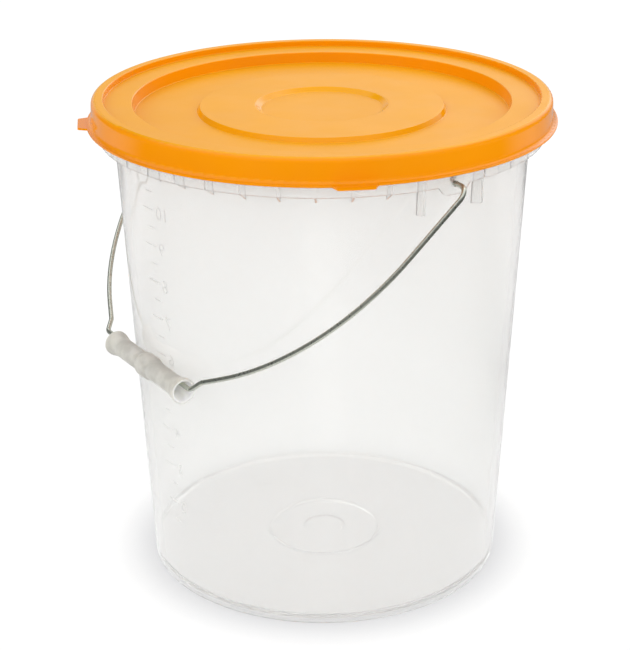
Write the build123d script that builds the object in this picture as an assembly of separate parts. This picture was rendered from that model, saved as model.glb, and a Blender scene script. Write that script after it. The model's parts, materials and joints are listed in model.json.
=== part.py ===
"""Ten-litre translucent pail with a press-on lid, a wire bail and a loose hand grip.

Millimetres, +Z up. The origin is the middle of the standing ring, on the floor.
The bail's ears lie on the X axis and the bail hangs down on the -Y side.
"""

import os
from math import asin, cos, radians, sin, tan

from build123d import *

# Pail body
base_dia = 220.2  # outside of the wall at the floor
wall_draft = 2.77  # lean of the wall away from upright, in degrees
pail_height = 291.8  # floor to the ledge that carries the lid
wall = 1.6
floor_wall = 1.6
foot_height = 3.1  # standing ring below the underside of the floor
floor_corner = 2.5  # inside radius between wall and floor

# Raised middle of the floor, with the moulding gate's dimple, and a raised pad beside it
hub_dia = 72.5
hub_rise = 1.7
gate_dia = 27.0
gate_depth = 0.8
floor_slope = 0.6  # run of the small steps in the floor
pad_dia = 12.5
pad_rise = 0.6
pad_place = 77.0  # from the pail's middle, under the -X ear

# Rim: a ledge around the wall, an outer band hung from it and a lip above it
rim_reach = 8.1  # wall to the outside of the band, at the ledge
ledge_wall = 1.6
band_wall = 1.5
band_drop = 17.8  # ledge to the band's lower edge
lip_height = 3.4
bead = 1.1  # snap bead, out from the band
bead_height = 3.2
bead_drop = 2.6  # ledge to the crest of the snap bead
rim_round = 0.55  # edge radius all over the rim

# Ribs between wall and band, and the longer gussets beside each ear
rib_count = 40
rib_turn = 1.7  # turn of the whole ring of ribs from the ears' axis, in degrees
rib_wall = 1.2
rib_drop = 5.7  # below the band, at the wall
gusset_angles = (-8.0, 9.4)  # from each ear, around the rim
gusset_wall = 1.6
gusset_drop = 16.5
gusset_lift = 1.8  # rise of the gusset's lower edge towards the outside

# Ears: a tongue of the band with a hole for the bail
ear_width = 22.0
ear_foot = 13.0  # width of the tongue at its lower end
ear_drop = 4.8  # below the band
ear_corner = 5.0
ear_hole_dia = 4.2
ear_hole_rise = 1.5  # band's lower edge to the hole's axis

# Lid
lid_wall = 1.8
lid_play = 0.3  # clearance between the rigid shapes of lid and pail
groove_room = 0.5  # over the pail's lip
skirt_gap = 2.4  # band to the inside of the skirt
skirt_depth = 15.3  # top of the rim to the flange's lower edge
skirt_draft = 2.5
lid_bead_height = 2.4
lid_bead_rise = 3.8  # flange's lower edge to the crest of the lid's own bead
flange_reach = 2.7  # out from the foot of the skirt
flange_wall = 1.2
flange_sweep = 2.3  # radius of the hollow above the flange
rim_shoulder = 3.0  # outer radius of the rim
lid_round = 0.4  # edge radius elsewhere on the lid
recess_depth = 6.8
recess_draft = 9.0
recess_play = 0.7  # around the standing ring of a pail stacked on top
recess_round = 0.8  # edge of the recess and inner edge of the rim
dish_round = 1.6
ring_dia = 148.0  # raised ring in the panel, at its foot
ring_rise = 2.8
ring_slope = 1.8
dish_dia = 79.0  # sunk middle of the ring, at its edge
dish_depth = 2.5
dish_slope = 3.4
plug_depth = 5.0  # seal inside the pail's mouth
plug_wall = 1.4
tab_angles = (-25.5, -116.0)  # lift tabs around the flange, from +X
tab_reach = 5.0
tab_root = 27.0
tab_tip = 20.0
tab_corner = 1.6

# Bail, bent from one wire
wire_dia = 2.8
bail_reach = 172.9  # ear axis to the run of wire inside the grip
leg_gap = 4.2  # lid's flange to the near side of the leg
leg_tilt = 6.6  # lean of each leg towards the middle
shoulder_angle = 58.3  # direction of the wire at the lower end of the bow
shoulder_straight = 15.5
jog_angle = 33.5  # direction of the short step down to the grip
jog_run = 8.5
ear_bend = 7.0
small_bend = 4.0  # at both ends of the jog
tail = 5.0  # hook behind the ear
tail_bend = 3.0

# Hand grip, a loose tube on the wire
grip_length = 85.4
grip_dia = 12.0
grip_end_dia = 15.0
grip_band_dia = 14.5
grip_band_width = 8.4
grip_band_slope = 2.4
grip_bore = 9.0
grip_mouth_wall = 1.4
grip_lip = 2.2
grip_flare = 7.5  # length of the taper behind each end
grip_play = 0.3  # wire to bore, where the grip hangs on the wire
grip_slide = 5.6  # the loose grip has slid this far along the wire, towards +X
grip_margin = 1.6  # end of the grip to the start of the wire's bend
rest_gap = 0.3  # grip to wall, where the bail leans on the pail

# Levels and radii that follow from the sizes above
draft = radians(wall_draft)
wall_run = wall / cos(draft)
ledge_low = pail_height - ledge_wall
ledge_mid = pail_height - ledge_wall / 2
band_low = pail_height - band_drop
lip_top = pail_height + lip_height
floor_top = foot_height + floor_wall
hinge_z = band_low + ear_hole_rise


def wall_radius(z):
    """Outside radius of the pail's wall at a height."""
    return base_dia / 2 + z * tan(draft)


band_out = wall_radius(pail_height) + rim_reach
band_in = band_out - band_wall
band_mid = band_out - band_wall / 2
skirt_in = band_out + skirt_gap
rim_top = lip_top + groove_room + lid_wall
flange_low = rim_top - skirt_depth
skirt_foot = skirt_in + lid_wall
flange_out = skirt_foot + flange_reach
leg_x = flange_out + leg_gap + wire_dia / 2
grip_drop = grip_bore / 2 - wire_dia / 2 - grip_play
grip_reach = bail_reach + grip_drop

# The bail leans on the pail where the grip's middle band meets the wall
touch_radius = wall_radius(hinge_z) + (grip_band_dia / 2 + rest_gap) / cos(draft)
hang_angle = asin(touch_radius * cos(draft) / grip_reach) - draft


def turned_section(corners):
    """Solid of revolution about Z from (radius, height, corner radius) triples."""
    points = [(x, 0, z) for x, z, _ in corners]
    rounds = [r for _, _, r in corners]
    return revolve(make_face(FilletPolyline(points, radius=rounds, close=True)), Axis.Z)


def radial_plate(outline, thickness, angle):
    """Upright plate that stands out from the Z axis, from a (radius, height) outline."""
    face = make_face(Polyline([(x, 0, z) for x, z in outline], close=True))
    return Rot(0, 0, angle) * extrude(face, thickness / 2, both=True)


def pail_shell():
    """Wall, floor and rim of the pail."""
    hub_r = hub_dia / 2
    hub_top = floor_top + hub_rise
    hub_low = foot_height + hub_rise
    gate_r = gate_dia / 2
    bead_z = pail_height - bead_drop
    foot_r = wall_radius(foot_height) - wall_run
    return turned_section(
        [
            (wall_radius(0), 0, rim_round),
            (wall_radius(ledge_low), ledge_low, rim_round),
            (band_in, ledge_low, rim_round),
            (band_in, band_low, rim_round),
            (band_out, band_low, rim_round),
            (band_out, bead_z - bead_height / 2, 0),
            (band_out + bead, bead_z, rim_round),
            (band_out, bead_z + bead_height / 2, 0),
            (band_out, lip_top, rim_round),
            (band_in, lip_top, rim_round),
            (band_in, pail_height, rim_round),
            (wall_radius(pail_height) - wall_run, pail_height, rim_round),
            (wall_radius(floor_top) - wall_run, floor_top, floor_corner),
            (hub_r + floor_slope, floor_top, 0),
            (hub_r, hub_top, 0),
            (gate_r, hub_top, 0),
            (gate_r - floor_slope, hub_top - gate_depth, 0),
            (0, hub_top - gate_depth, 0),
            (0, hub_low - gate_depth, 0),
            (gate_r - floor_slope - floor_wall, hub_low - gate_depth, 0),
            (gate_r - floor_wall, hub_low, 0),
            (hub_r - floor_wall, hub_low, 0),
            (hub_r - floor_wall + floor_slope, foot_height, 0),
            (foot_r, foot_height, rim_round),
            (wall_radius(0) - wall_run, 0, rim_round),
        ]
    )


def rim_ribs():
    """Ribs all around the rim's channel, with longer gussets on both sides of each ear."""

    def wall_mid(z):
        return wall_radius(z) - wall_run / 2

    rib_low = band_low - rib_drop
    rib = [
        (wall_mid(rib_low), rib_low),
        (band_mid, band_low + rim_round),
        (band_mid, ledge_mid),
        (wall_mid(ledge_mid), ledge_mid),
    ]
    gusset_low = band_low - gusset_drop
    gusset_out = band_in - rim_round
    gusset = [
        (wall_mid(gusset_low), gusset_low),
        (gusset_out, gusset_low + gusset_lift),
        (gusset_out, band_low + rim_round),
        (band_mid, band_low + rim_round),
        (band_mid, ledge_mid),
        (wall_mid(ledge_mid), ledge_mid),
    ]
    pitch = 360 / rib_count
    plates = []
    for i in range(rib_count):
        angle = rib_turn + pitch * i
        from_ear = (angle + 90) % 180 - 90
        if min(gusset_angles) - pitch / 2 < from_ear < max(gusset_angles) + pitch / 2:
            continue
        plates.append(radial_plate(rib, rib_wall, angle))
    for ear in (0, 180):
        plates += [radial_plate(gusset, gusset_wall, ear + angle) for angle in gusset_angles]
    return plates


def ear_tongues():
    """Tongues of the band that carry the bail's holes, on both ends of the X axis."""
    top = band_low + rim_round * 2
    low = band_low - ear_drop
    outline = FilletPolyline(
        [
            (0, -ear_width / 2, top),
            (0, -ear_foot / 2, low),
            (0, ear_foot / 2, low),
            (0, ear_width / 2, top),
        ],
        radius=[0, ear_corner, ear_corner, 0],
        close=True,
    )
    across = extrude(make_face(outline), band_out * 2, both=True)
    ring = Cylinder(band_out, top - low) - Cylinder(band_in, top - low)
    return across & (Pos(0, 0, (top + low) / 2) * ring)


def pail():
    """The pail as one moulding."""
    hole = Rot(0, 90, 0) * Cylinder(ear_hole_dia / 2, band_wall * 3)
    holes = [Pos(side * band_mid, 0, hinge_z) * hole for side in (-1, 1)]
    pad_height = floor_wall / 2 + pad_rise
    pad = Pos(-pad_place, 0, floor_top + pad_rise - pad_height / 2) * Cylinder(pad_dia / 2, pad_height)
    return pail_shell() + rim_ribs() + ear_tongues() + pad - holes


def lid():
    """The lid: sunk panel, rim over the pail's lip, skirt with flange, lift tabs."""
    seat = pail_height + lid_play
    deck = seat + lid_wall
    panel = deck - recess_depth
    ring_top = panel + ring_rise
    dish_top = ring_top - dish_depth
    ring_r = ring_dia / 2
    dish_r = dish_dia / 2
    recess_foot = base_dia / 2 + recess_play
    recess_edge = recess_foot + recess_depth * tan(radians(recess_draft))
    groove_in = band_in - lid_play
    rim_in = groove_in - lid_wall
    skirt_rise = rim_top - flange_low - flange_wall
    skirt_head = skirt_foot - skirt_rise * tan(radians(skirt_draft))
    bead_in = band_out + bead + lid_play
    bead_z = flange_low + lid_bead_rise
    plug_out = wall_radius(pail_height - plug_depth) - wall_run - lid_play
    plug_low = seat - plug_depth
    small = lid_round
    body = turned_section(
        [
            (0, dish_top, 0),
            (dish_r - dish_slope, dish_top, dish_round),
            (dish_r, ring_top, dish_round),
            (ring_r - ring_slope, ring_top, small),
            (ring_r, panel, small),
            (recess_foot, panel, small),
            (recess_edge, deck, recess_round),
            (rim_in, deck, small),
            (rim_in, rim_top, recess_round),
            (skirt_head, rim_top, rim_shoulder),
            (skirt_foot, flange_low + flange_wall, flange_sweep),
            (flange_out, flange_low + flange_wall, small),
            (flange_out, flange_low, small),
            (skirt_in, flange_low, small),
            (skirt_in, bead_z - lid_bead_height / 2, 0),
            (bead_in, bead_z, small),
            (skirt_in, bead_z + lid_bead_height / 2, 0),
            (skirt_in, rim_top - lid_wall, small),
            (groove_in, rim_top - lid_wall, small),
            (groove_in, seat, small),
            (plug_out, seat, 0),
            (plug_out, plug_low, small),
            (plug_out - plug_wall, plug_low, small),
            (plug_out - plug_wall, seat, 0),
            (recess_edge + lid_wall, seat, small),
            (recess_foot + lid_wall, panel - lid_wall, small),
            (ring_r - lid_wall, panel - lid_wall, small),
            (ring_r - ring_slope - lid_wall, ring_top - lid_wall, small),
            (dish_r + lid_wall / 2, ring_top - lid_wall, small),
            (dish_r - dish_slope + lid_wall / 2, dish_top - lid_wall, small),
            (0, dish_top - lid_wall, 0),
        ]
    )
    inner = skirt_in + lid_wall / 2
    outline = FilletPolyline(
        [
            (inner, -tab_root / 2, flange_low),
            (flange_out + tab_reach, -tab_tip / 2, flange_low),
            (flange_out + tab_reach, tab_tip / 2, flange_low),
            (inner, tab_root / 2, flange_low),
        ],
        radius=[0, tab_corner, tab_corner, 0],
        close=True,
    )
    tab = extrude(make_face(outline), flange_wall, dir=(0, 0, 1))
    return body + [Rot(0, 0, angle) * tab for angle in tab_angles]


def bail_plane():
    """Plane of the hanging bail: X along the ear axis, Y from the ears to the grip."""
    return Plane(
        origin=(0, 0, hinge_z),
        x_dir=(1, 0, 0),
        z_dir=(0, cos(hang_angle), -sin(hang_angle)),
    )


def bail_wire():
    """The bail: hooked ends, two legs, a bow on each side and the run inside the grip."""
    hook_x = (wall_radius(hinge_z) + band_in) / 2
    jog = radians(jog_angle)
    shoulder = radians(shoulder_angle)
    lean = tan(radians(leg_tilt))
    run_half = grip_length / 2 + grip_slide + grip_margin
    jog_x = run_half + small_bend * tan(radians(90 - jog_angle) / 2)
    kink_x = jog_x + jog_run * sin(jog)
    kink_y = bail_reach - jog_run * cos(jog)
    # The leg's line and the shoulder's line meet at the corner that the bow rounds off
    bow_y = (leg_x - kink_x - kink_y * tan(shoulder)) / (lean - tan(shoulder))
    bow_x = leg_x - bow_y * lean
    bow_turn = radians(shoulder_angle - leg_tilt)
    bow_run = (kink_y - bow_y) / cos(shoulder) - shoulder_straight
    bow_radius = bow_run / tan(bow_turn / 2)
    half = [
        (hook_x, -tail, 0),
        (hook_x, 0, tail_bend),
        (leg_x, 0, ear_bend),
        (bow_x, bow_y, bow_radius),
        (kink_x, kink_y, small_bend),
        (jog_x, bail_reach, small_bend),
    ]
    whole = half + [(-x, y, r) for x, y, r in reversed(half)]
    plane = bail_plane()
    points = [plane.from_local_coords((x, y, 0)) for x, y, _ in whole]
    path = FilletPolyline(points, radius=[r for _, _, r in whole[1:-1]])
    section = Plane(origin=path @ 0, z_dir=path % 0) * Circle(wire_dia / 2)
    return sweep(section, path=path)


def hand_grip():
    """The grip: a tube with flared ends and a raised band around its middle."""
    end = grip_length / 2
    mouth_r = grip_end_dia / 2 - grip_mouth_wall
    neck = end - grip_lip - grip_flare
    band_half = grip_band_width / 2
    half = [
        (neck, grip_bore / 2, grip_flare),
        (end, mouth_r, rim_round),
        (end, grip_end_dia / 2, rim_round),
        (end - grip_lip, grip_end_dia / 2, rim_round),
        (neck, grip_dia / 2, grip_flare),
        (band_half + grip_band_slope, grip_dia / 2, grip_band_slope),
        (band_half, grip_band_dia / 2, grip_band_slope),
    ]
    whole = half + [(-x, r, corner) for x, r, corner in reversed(half)]
    outline = FilletPolyline(
        [(x, r, 0) for x, r, _ in whole],
        radius=[corner for _, _, corner in whole],
        close=True,
    )
    tube = revolve(make_face(outline), Axis.X)
    return Pos(bail_plane().from_local_coords((grip_slide, grip_reach, 0))) * tube


def main():
    os.makedirs("parts", exist_ok=True)
    pieces = {
        "pail": pail(),
        "lid": lid(),
        "bail_wire": bail_wire(),
        "hand_grip": hand_grip(),
    }
    for node, shape in pieces.items():
        export_step(shape, f"parts/{node}.step")
        print(node, "volume", round(shape.volume), "mm3")


main()
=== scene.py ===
"""Looks of the lidded pail: camera, light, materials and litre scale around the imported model, in metres."""

import json
from math import cos, pi, radians, sin, tan

import bmesh
import bpy
from mathutils import Matrix, Vector


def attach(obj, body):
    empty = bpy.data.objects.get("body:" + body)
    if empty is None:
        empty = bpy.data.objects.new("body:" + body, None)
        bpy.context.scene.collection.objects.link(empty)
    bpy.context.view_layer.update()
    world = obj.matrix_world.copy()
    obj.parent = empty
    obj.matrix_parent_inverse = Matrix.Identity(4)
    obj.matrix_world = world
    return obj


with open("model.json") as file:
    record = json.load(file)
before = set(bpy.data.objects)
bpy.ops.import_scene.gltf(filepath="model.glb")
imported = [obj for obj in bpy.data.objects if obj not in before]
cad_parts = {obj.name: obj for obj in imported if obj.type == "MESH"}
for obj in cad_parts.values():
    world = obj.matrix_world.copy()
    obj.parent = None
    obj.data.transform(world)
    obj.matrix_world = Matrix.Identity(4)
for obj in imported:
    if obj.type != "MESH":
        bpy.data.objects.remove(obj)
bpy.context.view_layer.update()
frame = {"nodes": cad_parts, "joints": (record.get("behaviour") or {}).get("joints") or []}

# Camera, measured from the pail's middle on the floor, looking along the photograph's view
view_turn = 57.6  # degrees from the view's right-hand side to the ears' axis
camera_back = 0.9986
camera_side = -0.0051
camera_height = 0.561
camera_pitch = 22.488  # degrees below level
camera_roll = 0.47
focal_pixels = 1730.04
frame_height_pixels = 650
sensor_height = 36.0  # millimetres

# Studio: even light all round, and in reflections a dark tent with a bright top, a backdrop and a soft box
even_level = 0.96
backdrop_level = 0.62
backdrop_ends = (0.7, 0.9)  # cosines of the turns from straight behind between which the backdrop ends
backdrop_top = (0.34, 0.55)  # sines of the heights between which it ends
box_level = 1.5
box_turn = 30  # degrees to the right of straight behind
box_height = 38
box_ends = (0.74, 0.97)  # cosines of the angles from the box's middle between which it fades
top_level = 1.2
top_start = (0.58, 0.74)  # sines of the heights between which the top begins
tent_level = 0.06
fill_strength = 0.9
fill_width = 70  # degrees
fill_turn = 60  # to each side of the photograph's camera
fill_height = 12
floor_half = 6.0
floor_glow = (0.85, 0.85, 0.85, 1)  # part of the floor's white that the painted contact shadow takes away close to things
floor_shade = (0.18, 0.18, 0.178, 1)
floor_bounce = 0.8
contact_reach = 0.03  # of the painted contact shadow close to what stands on the floor
painted_contact_shadow = (0.36, 0.36, 0.38, 1)
open_through = 0.22  # least openness as seen through the plastic
contact_lean = 72  # degrees from upright, away from the photograph's camera
mirror_fade = (0.45, 0.95)  # distances at which the floor fades out of the plastic's reflections
mirror_side = (0.08, 0.45)  # also to each side
mirror_back = (0.0, 0.35)  # and comes back behind the pail
mirror_back_level = 0.75
mirror_far = (0.5, 0.72)  # dimmer again farther behind, where the lid's edges mirror it
mirror_far_share = 0.65

# Plastics, with two ends for each colour that clouds run between
noise_ends = (0.3, 0.7)  # values of noise between which a look changes
last_bend = 5.5  # surfaces of clear plastic after which light goes straight on
straight_tint = (0.975, 0.975, 0.97, 1)
absorbed_tint = (0.9, 0.9, 0.89, 1)
skirt_orange = ((0.835, 0.273, 0.0005, 1), (0.865, 0.29, 0.0008, 1))
# painted light: a lighter orange for upward faces, standing in for more light from above
painted_light_orange = ((0.815, 0.352, 0.0008, 1), (0.845, 0.368, 0.001, 1))
upper_faces = (0.2845, 0.2865)  # heights between the lid's flange and its panel
rim_faces = (0.2905, 0.293)  # heights between the panel's ring and the lid's rim
panel_facing = (0.25, 0.65)  # upward parts of the normal between which the orange is painted lighter, as painted light from above
rim_facing = (0.7, 0.97)
satin_facing = (0.9, 0.98)  # and between which it turns satin
satin_roughness = 0.3
zinc = ((0.53, 0.555, 0.49, 1), (0.61, 0.635, 0.565, 1))
grip_skin = ((0.52, 0.508, 0.468, 1), (0.63, 0.616, 0.572, 1))
# painted light: the bore is painted near white, standing in for light coming through the grip's walls
painted_bore_light = (0.97, 0.96, 0.935, 1)
bore_blend = 0.003  # of the normal times the distance from the grip's axis, where the bore's painted light turns to skin

# Litre scale, moulded on the inside of the wall
wall_foot_radius = 0.1085  # inner radius of the tapered wall, carried down to the floor
wall_draft = 2.77  # degrees
inside_floor = 0.0047
hub_litres = 0.11  # volume that the raised hub and corner take from each line
first_litre, last_litre = 2, 10
line_end = -84.4  # degrees about Z of the end of the lines that faces the digits
line_length = 0.0113
half_line_length = 0.0058
line_width = 0.0009
line_proud = 0.00015
scale_gap = 0.00002  # air behind the scale, which keeps its back face apart from the wall's
digit_end = -83.3
digit_size = 0.0114
digit_drop = 0.0049  # from a line down to the foot of its digits
digit_thinning = 0.0002
weld_distance = 0.000002


def turned(x, y, z):
    """A point given in the photograph's view (right, away, up) in the row frame."""
    return Matrix.Rotation(radians(view_turn), 3, "Z") @ Vector((x, y, z))


def link(thing):
    bpy.context.scene.collection.objects.link(thing)
    return thing


def set_camera():
    """Camera at the photograph's place."""
    pitch, roll = radians(camera_pitch), radians(camera_roll)
    right = Vector((1, 0, 0))
    up = Vector((0, sin(pitch), cos(pitch)))
    back = Vector((0, -cos(pitch), sin(pitch)))
    rolled_up = up * cos(roll) + right * sin(roll)
    rolled_right = right * cos(roll) - up * sin(roll)
    axes = Matrix((rolled_right, rolled_up, back)).transposed().to_4x4()
    place = Matrix.Translation((camera_side, -camera_back, camera_height))
    data = bpy.data.cameras.new("camera")
    data.sensor_fit = "VERTICAL"
    data.sensor_height = sensor_height
    data.lens = sensor_height * focal_pixels / frame_height_pixels
    camera = link(bpy.data.objects.new("camera", data))
    camera.matrix_world = Matrix.Rotation(radians(view_turn), 4, "Z") @ place @ axes
    bpy.context.scene.camera = camera


class Nodes:
    """The node tree of a material or world, with short calls to add and join nodes."""

    def __init__(self, owner):
        owner.use_nodes = True
        self.tree = owner.node_tree
        self.tree.nodes.clear()

    def add(self, kind, inputs=None, **settings):
        node = self.tree.nodes.new("ShaderNode" + kind)
        for key, value in settings.items():
            setattr(node, key, value)
        for key, value in (inputs or {}).items():
            if isinstance(value, bpy.types.NodeSocket):
                self.tree.links.new(value, node.inputs[key])
            else:
                node.inputs[key].default_value = value
        return node

    def math(self, operation, *values):
        return self.add("Math", dict(enumerate(values)), operation=operation).outputs[0]

    def dot(self, vector, direction):
        node = self.add("VectorMath", {0: vector, 1: direction}, operation="DOT_PRODUCT")
        return node.outputs["Value"]

    def ramp(self, value, start, stop, low, high):
        """Smooth step from low at start to high at stop."""
        inputs = {"Value": value, "From Min": start, "From Max": stop, "To Min": low, "To Max": high}
        return self.add("MapRange", inputs, interpolation_type="SMOOTHSTEP").outputs[0]

    def blend(self, share, first, second):
        """Colour between two colours."""
        return self.add("Mix", {0: share, 6: first, 7: second}, data_type="RGBA").outputs[2]

    def noise(self, scale, detail=2.0, stretch=(1, 1, 1)):
        """Noise in the row frame, with scale counted per metre."""
        place = self.add("TexCoord").outputs["Object"]
        place = self.add("Mapping", {"Vector": place, "Scale": stretch}).outputs[0]
        inputs = {"Vector": place, "Scale": scale, "Detail": detail}
        return self.add("TexNoise", inputs).outputs[0]

    def bump(self, height, distance):
        return self.add("Bump", {"Height": height, "Distance": distance}).outputs[0]

    def finish(self, kind, **sockets):
        self.add(kind, sockets)


def grey(level):
    return (level, level, level, 1)


def seen_white(nodes):
    """One for the rays that see the white studio, nought for those that light the object."""
    path = nodes.add("LightPath").outputs
    return nodes.math("MAXIMUM", path["Is Camera Ray"], path["Is Transmission Ray"])


def set_world():
    world = bpy.data.worlds.new("studio")
    n = Nodes(world)
    direction = n.add("TexCoord").outputs["Generated"]
    height = n.dot(direction, (0, 0, 1))
    away = n.dot(direction, turned(0, 1, 0))
    backdrop = n.ramp(height, *backdrop_top, backdrop_level, 0.0)
    backdrop = n.math("MULTIPLY", backdrop, n.ramp(away, *backdrop_ends, 0.0, 1.0))
    turn, rise = radians(box_turn), radians(box_height)
    box_middle = turned(sin(turn) * cos(rise), cos(turn) * cos(rise), sin(rise))
    box = n.ramp(n.dot(direction, box_middle), *box_ends, 0.0, box_level)
    top = n.ramp(height, *top_start, tent_level, top_level)
    level = n.math("ADD", n.math("ADD", backdrop, box), top)
    even = n.add("Background", {"Color": grey(1), "Strength": even_level})
    tent = n.add("Background", {"Color": grey(1), "Strength": level})
    white = n.add("Background", {"Color": grey(1), "Strength": 1.0})
    mirrored = n.add("LightPath").outputs["Is Glossy Ray"]
    light = n.add("MixShader", {0: mirrored, 1: even.outputs[0], 2: tent.outputs[0]})
    mix = n.add("MixShader", {0: seen_white(n), 1: light.outputs[0], 2: white.outputs[0]})
    n.finish("OutputWorld", Surface=mix.outputs[0])
    bpy.context.scene.world = world


def soft_lamp(name, travel, width, strength):
    """Far lamp, too broad to show as a highlight, with its light's direction in the photograph's view."""
    data = bpy.data.lights.new(name, "SUN")
    data.energy = strength
    data.angle = radians(width)
    lamp = link(bpy.data.objects.new(name, data))
    lamp.rotation_euler = turned(*travel).to_track_quat("-Z", "Y").to_euler()
    lamp.visible_glossy = False
    lamp.visible_transmission = False


def set_lamps():
    turn, height = radians(fill_turn), radians(fill_height)
    for name, side in (("fill_left", 1), ("fill_right", -1)):
        travel = (side * sin(turn) * cos(height), cos(turn) * cos(height), -sin(height))
        soft_lamp(name, travel, fill_width, fill_strength)


def floor_material():
    """White floor that keeps the lamps' shadow and has a painted contact shadow close to what stands on it,
    and fades out of reflections in front and at the sides.
    """
    material = bpy.data.materials.new("floor")
    n = Nodes(material)
    plain = n.add("BsdfDiffuse", {"Color": grey(floor_bounce)})
    shade = n.add("BsdfDiffuse", {"Color": floor_shade})
    path = n.add("LightPath").outputs
    lean = radians(contact_lean)
    contact = {"Distance": contact_reach, "Normal": turned(0, sin(lean), cos(lean))}
    # Painted shadow: ambient occlusion darkens the floor's glow towards the painted contact shadow close to
    # what stands on it
    openness = n.add("AmbientOcclusion", contact).outputs["AO"]
    openness = n.math("MAXIMUM", openness, n.math("MULTIPLY", path["Is Transmission Ray"], open_through))
    glow = n.add("Emission", {"Color": n.blend(openness, painted_contact_shadow, floor_glow), "Strength": 1.0})
    white = n.add("AddShader", {0: shade.outputs[0], 1: glow.outputs[0]})
    place = n.add("TexCoord").outputs["Object"]
    across = n.math("ABSOLUTE", n.dot(place, turned(1, 0, 0)))
    distance = n.add("VectorMath", {0: place}, operation="LENGTH").outputs["Value"]
    near = n.ramp(distance, *mirror_fade, 1.0, 0.0)
    near = n.math("MULTIPLY", near, n.ramp(across, *mirror_side, 1.0, 0.0))
    back = n.dot(place, turned(0, 1, 0))
    behind = n.ramp(back, *mirror_back, 0.0, mirror_back_level)
    behind = n.math("MULTIPLY", behind, n.ramp(back, *mirror_far, 1.0, mirror_far_share))
    mirrored = n.add("Emission", {"Color": grey(1), "Strength": n.math("MAXIMUM", near, behind)})
    unseen = n.add("MixShader", {0: path["Is Glossy Ray"], 1: plain.outputs[0], 2: mirrored.outputs[0]})
    mix = n.add("MixShader", {0: seen_white(n), 1: unseen.outputs[0], 2: white.outputs[0]})
    n.finish("OutputMaterial", Surface=mix.outputs[0])
    return material


def add_floor():
    corners = [(x * floor_half, y * floor_half, 0) for x, y in ((-1, -1), (1, -1), (1, 1), (-1, 1))]
    mesh = bpy.data.meshes.new("floor")
    mesh.from_pydata(corners, [], [(0, 1, 2, 3)])
    mesh.materials.append(floor_material())
    link(bpy.data.objects.new("floor", mesh))


def clear_plastic(name, tint, clearness, roughness):
    """Near-clear moulded plastic: a milky veil on a wall that stays sharp to look through."""
    material = bpy.data.materials.new(name)
    n = Nodes(material)
    cloud = n.noise(22, 3)
    inputs = {
        "Base Color": tint,
        "Roughness": n.ramp(cloud, *noise_ends, *roughness),
        "IOR": 1.45,
        "Transmission Weight": clearness,
        "Normal": n.bump(n.noise(60, 2, (1, 1, 0.3)), 0.00003),
    }
    plastic = n.add("BsdfPrincipled", inputs)
    through = n.add("BsdfTransparent", {"Color": straight_tint})
    path = n.add("LightPath").outputs
    trapped = n.math("GREATER_THAN", path["Ray Depth"], last_bend)
    straight = n.math("MAXIMUM", path["Is Shadow Ray"], trapped)
    mix = n.add("MixShader", {0: straight, 1: plastic.outputs[0], 2: through.outputs[0]})
    depth = n.add("VolumeAbsorption", {"Color": absorbed_tint, "Density": 50})
    n.finish("OutputMaterial", Surface=mix.outputs[0], Volume=depth.outputs[0])
    return material


def lid_plastic():
    """Glossy orange moulding with faint flow clouds and a fine moulded grain, and painted light: upward faces
    above the flange are painted a lighter orange, as if lit more from above.
    """
    material = bpy.data.materials.new("lid_plastic")
    n = Nodes(material)
    cloud = n.noise(18, 3)
    place = n.add("TexCoord").outputs
    facing_up = n.dot(place["Normal"], (0, 0, 1))
    height = n.dot(place["Object"], (0, 0, 1))
    upper = n.ramp(height, *upper_faces, 0.0, 1.0)
    start = n.ramp(height, *rim_faces, panel_facing[0], rim_facing[0])
    stop = n.ramp(height, *rim_faces, panel_facing[1], rim_facing[1])
    satin = n.math("MULTIPLY", upper, n.ramp(facing_up, *satin_facing, 0.0, 1.0))
    # Painted light: upward faces above the flange blend towards the painted lighter orange
    painted_light_share = n.math("MULTIPLY", upper, n.ramp(facing_up, start, stop, 0.0, 1.0))
    deep = n.blend(painted_light_share, skirt_orange[0], painted_light_orange[0])
    light = n.blend(painted_light_share, skirt_orange[1], painted_light_orange[1])
    grain = n.ramp(n.noise(45, 4), *noise_ends, 0.1, 0.15)
    inputs = {
        "Base Color": n.blend(n.ramp(cloud, *noise_ends, 0, 1), deep, light),
        "Roughness": n.math("MULTIPLY_ADD", satin, satin_roughness, grain),
        "IOR": 1.33,
        "Normal": n.bump(n.noise(900, 2), 0.000008),
    }
    plastic = n.add("BsdfPrincipled", inputs)
    n.finish("OutputMaterial", Surface=plastic.outputs[0])
    return material


def wire_steel():
    """Galvanised wire: zinc in small patches, with faint lengthwise drawing marks."""
    material = bpy.data.materials.new("wire")
    n = Nodes(material)
    patches = n.ramp(n.noise(420, 3), 0.35, 0.65, 0, 1)
    inputs = {
        "Base Color": n.blend(patches, *zinc),
        "Metallic": 0.88,
        "Specular Tint": (0.55, 0.55, 0.5, 1),
        "Roughness": n.ramp(n.noise(600, 3), *noise_ends, 0.26, 0.36),
        "Normal": n.bump(n.noise(2500, 2), 0.000006),
    }
    steel = n.add("BsdfPrincipled", inputs)
    n.finish("OutputMaterial", Surface=steel.outputs[0])
    return material


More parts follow.
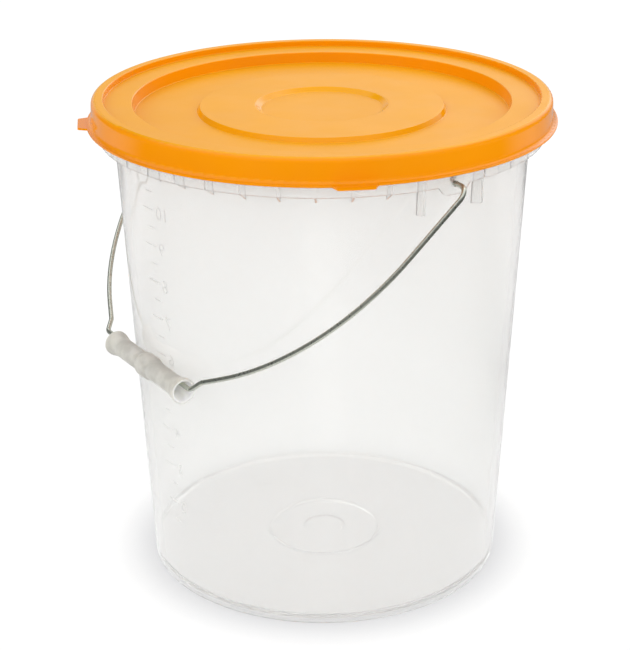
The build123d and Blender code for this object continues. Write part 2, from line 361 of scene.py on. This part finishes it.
def grip_plastic():
    """Milky natural plastic, cloudy, with a satin skin, and a bore painted near white as painted light for
    light coming through the walls.
    """
    material = bpy.data.materials.new("grip_plastic")
    n = Nodes(material)
    cloud = n.ramp(n.noise(130, 4), 0.35, 0.68, 0, 1)
    skin = n.blend(cloud, *grip_skin)
    axis = next(joint["pos_m"] for joint in frame["joints"] if joint["name"] == "grip_spin")
    place = n.add("TexCoord").outputs
    spoke = n.add("VectorMath", {0: place["Object"], 1: axis}, operation="SUBTRACT").outputs[0]
    spoke = n.add("VectorMath", {0: spoke, 1: (0, 1, 1)}, operation="MULTIPLY").outputs[0]
    # Painted light: faces turned towards the axis take the bore's near-white colour
    facing_out = n.dot(place["Normal"], spoke)
    inputs = {
        "Base Color": n.blend(n.ramp(facing_out, -bore_blend, bore_blend, 0, 1), painted_bore_light, skin),
        "Roughness": n.ramp(n.noise(250, 3), *noise_ends, 0.28, 0.42),
        "Subsurface Weight": 0.95,
        "Subsurface Scale": 1.0,
        "Subsurface Radius": (0.004, 0.004, 0.0036),
        "Normal": n.bump(n.noise(700, 2), 0.00004),
    }
    plastic = n.add("BsdfPrincipled", inputs)
    through = n.add("BsdfTransparent", {"Color": (0.93, 0.93, 0.91, 1)})
    shadow = n.add("LightPath").outputs["Is Shadow Ray"]
    mix = n.add("MixShader", {0: shadow, 1: plastic.outputs[0], 2: through.outputs[0]})
    n.finish("OutputMaterial", Surface=mix.outputs[0])
    return material


def dress(node, material):
    """One material on a whole CAD node."""
    slots = frame["nodes"][node].data.materials
    slots.clear()
    slots.append(material)


def litre_height(litres):
    """Height above the floor at which the tapered wall holds this many litres."""
    slope = tan(radians(wall_draft))
    foot = wall_foot_radius + inside_floor * slope
    volume = (litres + hub_litres) / 1000
    return ((foot**3 + 3 * slope * volume / pi) ** (1 / 3) - wall_foot_radius) / slope


def on_wall(turn, height, proud):
    """Point on the inside of the wall, proud of it by a little."""
    radius = wall_foot_radius + height * tan(radians(wall_draft)) - proud - scale_gap
    return Vector((radius * cos(turn), radius * sin(turn), height))


def add_line(bm, height, length, steps=6):
    """Raised line with sloped flanks along the wall."""
    section = ((0.5, 0.0), (0.28, line_proud), (-0.28, line_proud), (-0.5, 0.0))
    radius = wall_foot_radius + height * tan(radians(wall_draft))
    rings = []
    for step in range(steps + 1):
        turn = radians(line_end) - length / radius * step / steps
        ring = [on_wall(turn, height + rise * line_width, proud) for rise, proud in section]
        rings.append([bm.verts.new(point) for point in ring])
    for low, high in zip(rings, rings[1:]):
        for k in range(len(section)):
            j = (k + 1) % len(section)
            bm.faces.new((low[k], low[j], high[j], high[k]))
    bm.faces.new(rings[0][::-1])
    bm.faces.new(rings[-1])


def add_digits(bm, litres, height):
    """Number on the wall, to be read from inside."""
    text = bpy.data.curves.new("digits", "FONT")
    text.body = str(litres)
    text.size = digit_size
    text.align_x = "RIGHT"
    text.extrude = line_proud / 2
    text.offset = -digit_thinning
    written = link(bpy.data.objects.new("digits", text))
    flat = bpy.data.meshes.new_from_object(written.evaluated_get(bpy.context.evaluated_depsgraph_get()))
    radius = wall_foot_radius + height * tan(radians(wall_draft))
    for vert in flat.vertices:
        across, rise, out = vert.co
        turn = radians(digit_end) - across / radius
        vert.co = on_wall(turn, height - digit_drop + rise, out + line_proud / 2)
    bm.from_mesh(flat)
    bpy.data.objects.remove(written)
    bpy.data.curves.remove(text)
    bpy.data.meshes.remove(flat)


def add_scale():
    bm = bmesh.new()
    for litres in range(first_litre, last_litre + 1):
        height = litre_height(litres)
        add_line(bm, height, line_length)
        add_line(bm, litre_height(litres - 0.5), half_line_length)
        add_digits(bm, litres, height)
    add_line(bm, litre_height(last_litre + 0.5), half_line_length)
    bmesh.ops.remove_doubles(bm, verts=bm.verts, dist=weld_distance)
    bmesh.ops.recalc_face_normals(bm, faces=bm.faces)
    mesh = bpy.data.meshes.new("litre_scale")
    bm.to_mesh(mesh)
    bm.free()
    mesh.materials.append(clear_plastic("scale_plastic", (0.99, 0.99, 0.98, 1), 0.72, (0.2, 0.3)))
    scale = link(bpy.data.objects.new("litre_scale", mesh))
    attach(scale, "pail")


set_camera()
set_world()
set_lamps()
bpy.context.scene.view_settings.view_transform = "Standard"
add_floor()

dress("pail", clear_plastic("clear_plastic", (0.993, 0.998, 0.993, 1), 0.79, (0.03, 0.06)))
dress("lid", lid_plastic())
dress("bail_wire", wire_steel())
dress("hand_grip", grip_plastic())
add_scale()
